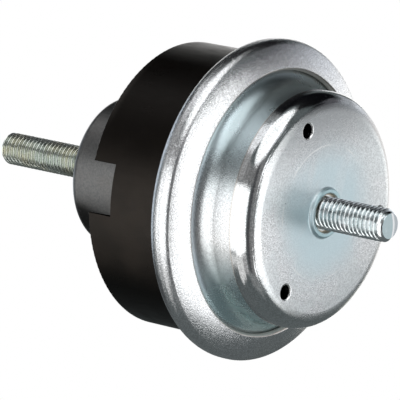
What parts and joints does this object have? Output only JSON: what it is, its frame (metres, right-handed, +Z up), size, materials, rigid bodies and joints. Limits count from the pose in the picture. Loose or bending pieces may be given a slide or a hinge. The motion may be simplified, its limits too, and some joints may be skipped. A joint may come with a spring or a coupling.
{
  "type": "engine mount",
  "caption": "Round hydraulic engine mount: zinc-plated base cup and crimp ring, black rubber body with a notched rim, grey boss, and a threaded stud at each end.",
  "frame": {"origin": "on the mount's axis, in the flat face of the base cup, at the root of the base stud", "axes": "+X along the axis, out of the base stud; -X out of the engine stud; +Z up, as in the picture"},
  "size_m": [0.148, 0.0968, 0.0968],
  "materials": {
    "zinc_stud": "clear zinc plated thread",
    "zinc_sheet": "clear zinc plated pressed steel",
    "boss_coating": "die-cast, dark grey matt coating",
    "black_rubber": "satin moulded rubber",
    "bare_steel": "oiled steel",
    "cast_track": "die-cast",
    "inner_rubber": "soft moulded rubber"
  },
  "bodies": {
    "root": {"engine_stud": "zinc_stud", "base_stud": "zinc_stud", "crimp_ring": "zinc_sheet", "base_cup": "zinc_sheet", "inner_core": "boss_coating", "main_rubber": "black_rubber", "outer_sleeve": "bare_steel", "orifice_plate": "bare_steel", "track_rivets": "bare_steel", "track_body": "cast_track", "track_seal": "inner_rubber", "decoupler_disc": "inner_rubber", "bellows": "inner_rubber"}
  },
  "joints": []
}
